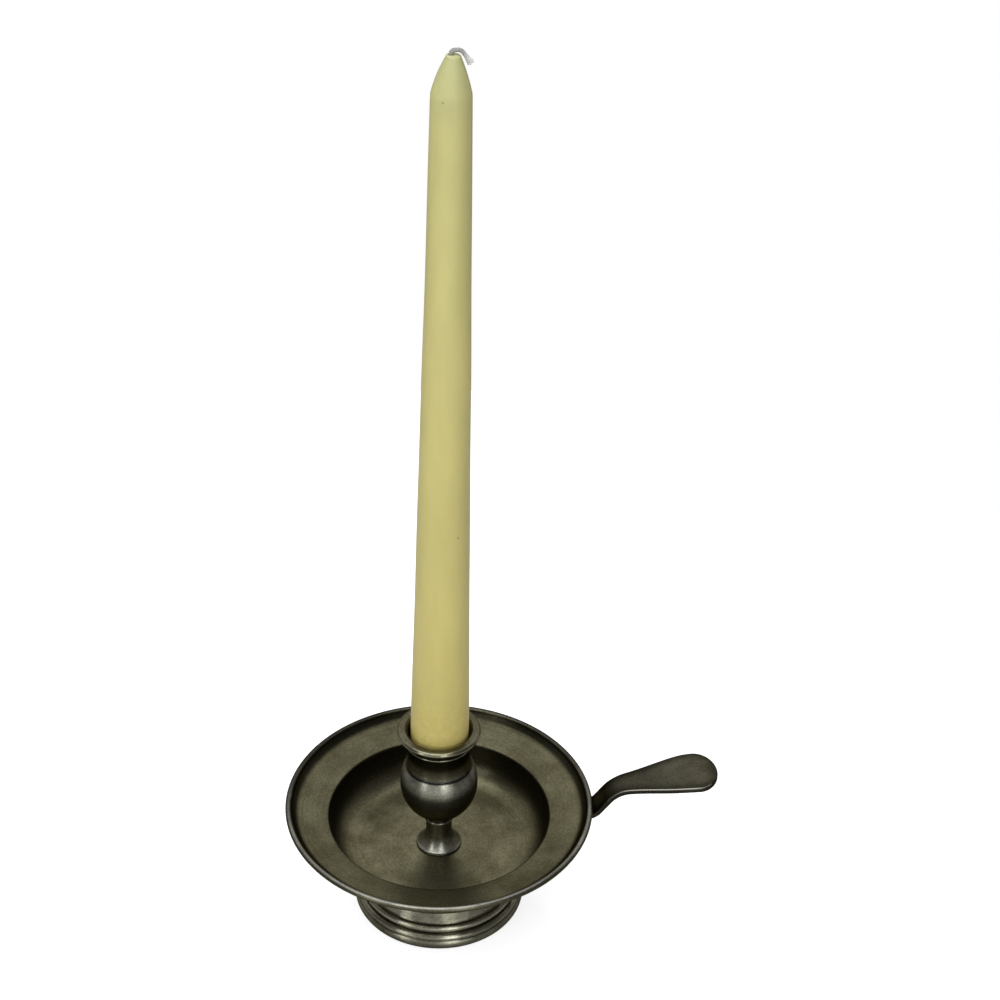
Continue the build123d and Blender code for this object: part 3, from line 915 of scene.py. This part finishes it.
mesh.from_pydata(points, [], shell(len(rings), spokes, closed=True))
taper = set_out("taper", mesh)

wax, tree, body = new_finish("ivory_wax")
place = object_place(tree)
height = add(tree, "ShaderNodeSeparateXYZ", {0: place}).outputs["Z"]
shade = blend(tree, carry(tree, height, 80 * mm, 350 * mm), wax_low, wax_high)
shade = blend(tree, carry(tree, height, 345 * mm, 366 * mm), shade, wax_crown)
drawn_out = add(tree, "ShaderNodeMapping", {"Vector": place, "Scale": (1, 1, 0.25)}).outputs[0]
shade = times(tree, shade, carry(tree, mottle(tree, drawn_out, 90, 5), 0.3, 0.7, 0.93, 1.06))
# Handled and smeared where it was pressed into the cup
low_down = carry(tree, height, 118 * mm, 86 * mm, 0, 0.5)
smear = carry(tree, mottle(tree, place, 420, 4, 0.7), 0.35, 0.7)
shade = blend(tree, reckon(tree, "MULTIPLY", smear, low_down), shade, wax_smeared)
# Two specks of dirt that the wax picked up
for speck in dirt_specks:
    away = add(tree, "ShaderNodeVectorMath", {0: place, 1: Vector(speck) * mm}, operation="DISTANCE")
    dirt = carry(tree, away.outputs["Value"], 0.25 * mm, 0.6 * mm, 0.75, 0)
    shade = blend(tree, dirt, shade, wax_dirt)
tree.links.new(shade, body.inputs["Base Color"])
body.inputs["Subsurface Weight"].default_value = 0.35
body.inputs["Subsurface Radius"].default_value = (1.0, 0.75, 0.35)
body.inputs["Subsurface Scale"].default_value = 4 * mm
body.inputs["Roughness"].default_value = 0.45
body.inputs["IOR"].default_value = 1.44
dents = mottle(tree, place, 260, 4)
bump = add(tree, "ShaderNodeBump", {"Strength": 0.25, "Distance": 0.12 * mm, "Height": dents})
tree.links.new(bump.outputs[0], body.inputs["Normal"])
taper.data.materials.append(wax)
weld(taper, 40)
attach(taper, "candle")
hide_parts("candle")


# Wick: twisted cotton strands through the whole candle, never lit.
# Its free end is stiff with wax, bends over above the tip and frays where it was cut.
strand_count, strand_radius, strand_lay, strand_pitch, strand_step = 5, 0.32, 0.46, 4.5, 0.3
fray, fray_length = 1.1, 3.0
soaked_dark, soaked_light = (0.13, 0.13, 0.12), (0.52, 0.51, 0.48)
dry_dark, dry_light = (0.5, 0.48, 0.46), (0.86, 0.84, 0.82)
# Corners of its line: how far aside, height and radius of the bend
wick_corners = [
    (0, 0, 0),
    (0, shoulder, tip_length / 2),
    (-0.4, candle_length + wick_rise, 1.2),
    (3.0, candle_length + 1.5, 2.5),
    (6.2, candle_length - 3.1, 0),
]
twist, given = start_rule(
    "twisted_wick",
    {
        "Line": "Geometry",
        "Strands": "Int",
        "Strand radius": "Float",
        "Lay": "Float",
        "Pitch": "Float",
        "Step": "Float",
        "Fray": "Float",
        "Fray length": "Float",
        "Finish": "Material",
    },
)
eased = rounded(twist, given["Line"], 12)
even = add(twist, "GeometryNodeResampleCurve", {"Curve": eased, "Length": given["Step"]}, mode="LENGTH")
strands = add(
    twist,
    "GeometryNodeDuplicateElements",
    {"Geometry": even.outputs[0], "Amount": given["Strands"]},
    domain="SPLINE",
).outputs
phase = reckon(twist, "DIVIDE", strands["Duplicate Index"], given["Strands"])
along = add(twist, "GeometryNodeSplineParameter").outputs["Length"]
twists = reckon(twist, "ADD", reckon(twist, "DIVIDE", along, given["Pitch"]), phase)
side = add(
    twist,
    "ShaderNodeVectorRotate",
    {
        "Vector": add(twist, "GeometryNodeInputNormal").outputs[0],
        "Axis": add(twist, "GeometryNodeInputTangent").outputs[0],
        "Angle": reckon(twist, "MULTIPLY", twists, math.tau),
    },
    rotation_type="AXIS_ANGLE",
).outputs[0]
# The strands spread towards the cut end
whole = add(twist, "GeometryNodeSplineLength").outputs["Length"]
left = reckon(twist, "SUBTRACT", whole, along)
loose = carry(twist, left, 0, given["Fray length"], given["Fray"], 0, soft=True)
spread = reckon(twist, "MULTIPLY", given["Lay"], reckon(twist, "ADD", loose, 1.0))
laid = add(twist, "GeometryNodeSetPosition", {"Geometry": strands[0], "Offset": times(twist, side, spread)})
ring = add(twist, "GeometryNodeCurvePrimitiveCircle", {"Resolution": 10, "Radius": given["Strand radius"]})
tube = add(
    twist,
    "GeometryNodeCurveToMesh",
    {"Curve": laid.outputs[0], "Profile Curve": ring.outputs[0], "Fill Caps": True},
)
end_rule(twist, tube.outputs[0], given["Finish"])

cotton, tree, body = new_finish("waxed_cotton")
place = object_place(tree)
fibre = mottle(tree, place, 2600, 4)
soaked = blend(tree, fibre, soaked_dark, soaked_light)
dry = blend(tree, fibre, dry_dark, dry_light)
# Grey with wax over the tip, pale and dry at the cut end
reach = add(tree, "ShaderNodeSeparateXYZ", {0: place}).outputs["X"]
shade = blend(tree, carry(tree, reach, 7.5 * mm, 9.8 * mm), soaked, dry)
tree.links.new(shade, body.inputs["Base Color"])
body.inputs["Roughness"].default_value = 0.6
bump = add(tree, "ShaderNodeBump", {"Strength": 0.5, "Distance": 0.08 * mm, "Height": fibre})
tree.links.new(bump.outputs[0], body.inputs["Normal"])
wick = draw("wick_strands", wick_corners)
wick.data.transform(upright)
grow(
    wick,
    twist,
    strands=strand_count,
    strand_radius=strand_radius * mm,
    lay=strand_lay * mm,
    pitch=strand_pitch * mm,
    step=strand_step * mm,
    fray=fray,
    fray_length=fray_length * mm,
    finish=cotton,
)
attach(wick, "candle")
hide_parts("wick")


# Table: a plain white sheet of polished acrylic that the chamberstick stands on.
# It shows white, and keeps the soft shadow under the saucer.
table_reach, table_sides, table_gap = 0.4, 64, 0.2 * mm
white_for_camera, white_in_metal = 0.76, 0.05
mesh = bpy.data.meshes.new("table")
turns = [math.tau * n / table_sides for n in range(table_sides)]
table_edge = [(table_reach * math.cos(a), table_reach * math.sin(a), -table_gap) for a in turns]
mesh.from_pydata(table_edge, [], [list(range(table_sides))])
table = set_out("table", mesh)
acrylic, tree, body = new_finish("white_sheet")
body.inputs["Base Color"].default_value = (0.65, 0.65, 0.65, 1)
body.inputs["Roughness"].default_value = 0.12
body.inputs["Emission Color"].default_value = (1, 1, 1, 1)
# The sheet is lifted to white for the camera, and a little for what the metal mirrors
path = add(tree, "ShaderNodeLightPath").outputs
straight = reckon(tree, "MAXIMUM", path["Is Camera Ray"], path["Is Transmission Ray"])
shown = reckon(tree, "MULTIPLY", straight, white_for_camera)
mirrored = reckon(tree, "MULTIPLY", path["Is Glossy Ray"], white_in_metal)
tree.links.new(reckon(tree, "MAXIMUM", shown, mirrored), body.inputs["Emission Strength"])
table.data.materials.append(acrylic)


# Light: two tall soft boxes on the camera's side, one well to the left and one a little to the right.
# A broad low window fills in between them, and a last box hangs overhead.
# The room is white behind and dim beside.
lamp_white = (0.94, 0.97, 1.0)
world = bpy.data.worlds.new("white_room")
bpy.context.scene.world = world
world.use_nodes = True
tree = world.node_tree
tree.nodes.clear()
path = add(tree, "ShaderNodeLightPath").outputs
way = add(tree, "ShaderNodeSeparateXYZ", {0: add(tree, "ShaderNodeTexCoord").outputs["Generated"]}).outputs
# What the metal mirrors: a wall behind that brightens upwards and dims to either side
rising = carry(tree, way["Z"], 0.2, 0.6, 0.15, 1, soft=True)
narrow = carry(tree, reckon(tree, "ABSOLUTE", way["X"]), 0.6, 0.3, 0.6, 1, soft=True)
behind = reckon(tree, "MULTIPLY", carry(tree, way["Y"], -0.05, 0.4, soft=True), rising)
wall = carry(tree, reckon(tree, "MULTIPLY", behind, narrow), 0, 1, 0.13, 1)
# What the camera sees is white, and the fill on the object comes mostly from behind
straight = reckon(tree, "MAXIMUM", path["Is Camera Ray"], path["Is Transmission Ray"])
fill = carry(tree, way["Y"], 0, 0.8, 0.2, 0.65, soft=True)
level = reckon(tree, "MAXIMUM", straight, fill)
pick = add(tree, "ShaderNodeMix", {0: path["Is Glossy Ray"], 2: level, 3: wall}, data_type="FLOAT").outputs[0]
room = add(tree, "ShaderNodeBackground", {"Color": (1, 1, 1, 1), "Strength": pick})
add(tree, "ShaderNodeOutputWorld", {"Surface": room.outputs[0]})
for name, place, aim, width, height, power in (
    ("soft_box_left", (-1.0, -0.84, 0.61), (0, 0, 0.61), 0.3, 1.18, 2.8),
    ("soft_box_right", (0.2, -1.28, 0.61), (0, 0, 0.61), 0.4, 1.18, 3.6),
    ("broad_window", (-0.17, -1.19, 0.15), (0, 0, 0.15), 2.16, 0.7, 4.6),
    ("soft_box_above", (-0.24, -0.4, 1.3), (-0.24, -0.4, 0), 1.2, 1.4, 15),
):
    lamp = bpy.data.lights.new(name, "AREA")
    lamp.shape = "RECTANGLE"
    lamp.size, lamp.size_y = width, height
    lamp.energy = power
    lamp.color = lamp_white
    box = set_out(name, lamp)
    box.location = place
    box.rotation_euler = (Vector(place) - Vector(aim)).to_track_quat("Z", "Y").to_euler()
    box.visible_camera = False


# Camera: above the table and a little to the left of the handle's square-on view.
# A long lens, so that the tall candle hardly narrows, with the frame slid sideways to take in the handle.
camera = set_out("camera", bpy.data.cameras.new("camera"))
camera.location = (-0.0652, -0.6769, 0.653)
camera.rotation_euler = (math.radians(56.03), 0, math.radians(-5.5))
camera.data.lens = 80.75
camera.data.sensor_width = 36
camera.data.shift_x = 0.0611
bpy.context.scene.camera = camera
bpy.context.scene.view_settings.view_transform = "Standard"
